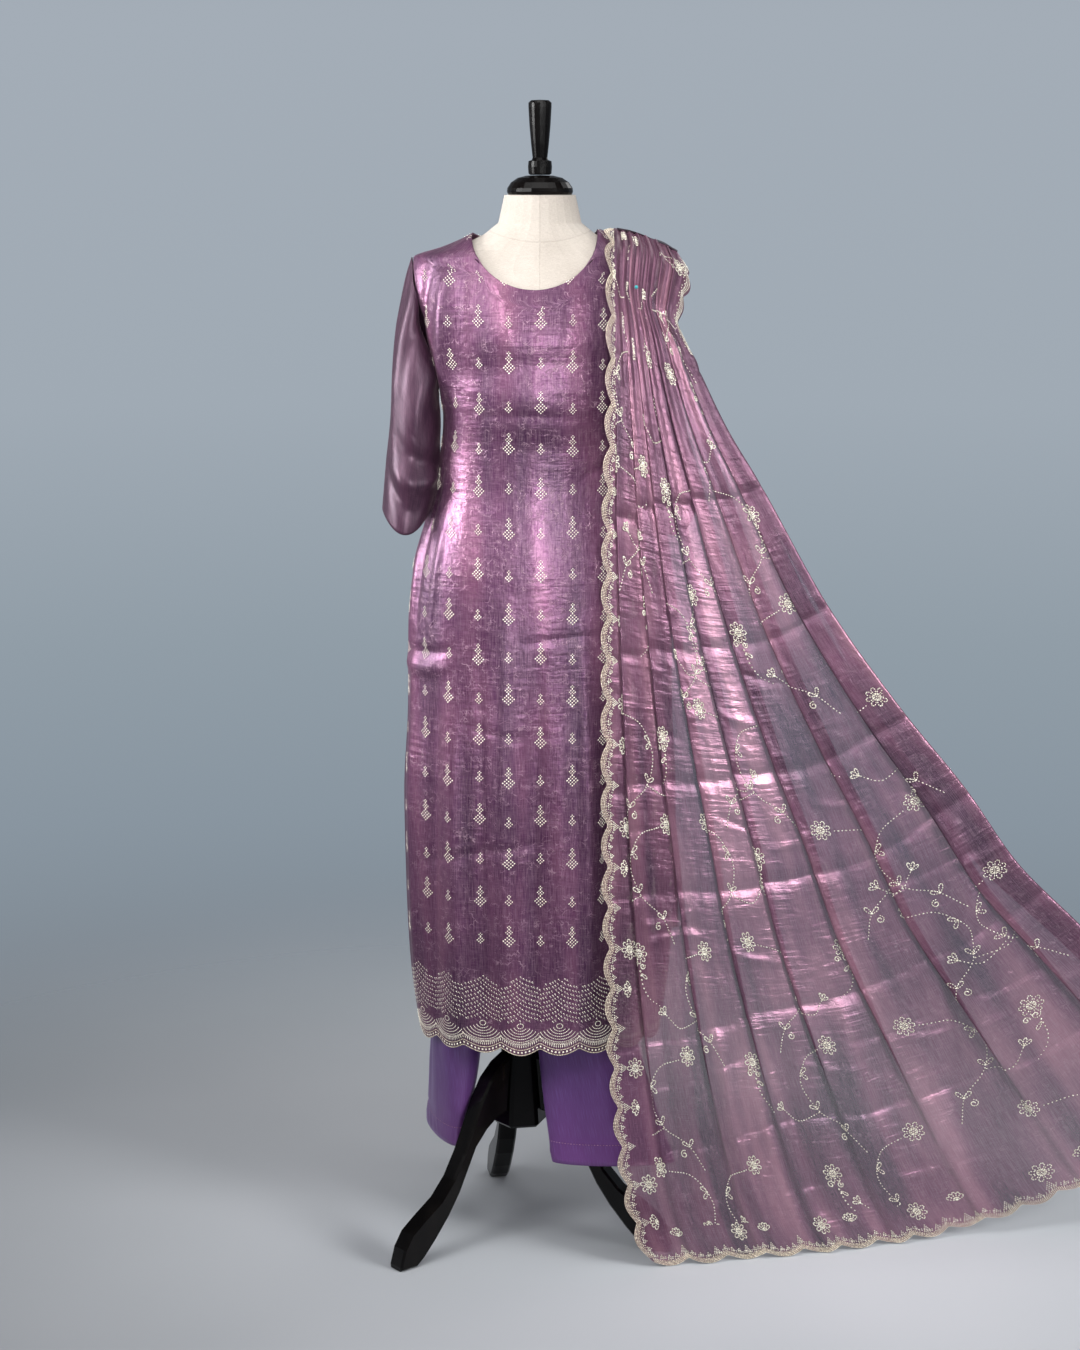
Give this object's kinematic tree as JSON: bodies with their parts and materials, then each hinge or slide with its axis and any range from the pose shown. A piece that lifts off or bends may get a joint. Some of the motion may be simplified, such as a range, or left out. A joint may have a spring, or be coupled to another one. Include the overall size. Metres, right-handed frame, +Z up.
{
  "type": "salwar kameez suit on dress form",
  "caption": "Straight silk kameez, satin trousers and a pleated sheer dupatta fanned out from one shoulder, worn by a limbless dress form on a turned wooden tripod stand.",
  "frame": {"origin": "middle of the whole model's box, on the floor that the stand's feet rest on", "axes": "+Z up, -Y the way the suit's front faces, +X towards the spread end of the dupatta"},
  "size_m": [1.2202, 0.3802, 1.603],
  "materials": {
    "silk": "crushed tissue silk with a two-tone sheen",
    "beaded_edging": "scalloped beaded edging in cream, silver and gold",
    "satin": "violet satin",
    "veil": "sheer crushed tissue, semi-transparent",
    "linen": "cream linen, matt",
    "black_wood": "black lacquered turned wood",
    "steel": "bright screw",
    "turquoise": "small pin head"
  },
  "bodies": {
    "root": {"kameez_front": "silk", "kameez_back": "silk", "sleeve_right": "silk", "sleeve_left": "silk", "kameez_edging_front": "beaded_edging", "kameez_edging_back": "beaded_edging", "trouser_right": "satin", "trouser_left": "satin", "trouser_waistband": "satin", "dupatta_front": "veil", "dupatta_back": "veil", "dupatta_edging_side": "beaded_edging", "dupatta_edging_end": "beaded_edging", "shoulder_pin": "turquoise", "dress_form": "linen", "neck_cap": "black_wood", "finial": "black_wood", "pole": "black_wood", "hub_collar": "black_wood", "hub": "black_wood", "lock_screw": "steel", "stand_leg_1": "black_wood", "stand_leg_2": "black_wood", "stand_leg_3": "black_wood"}
  },
  "joints": []
}
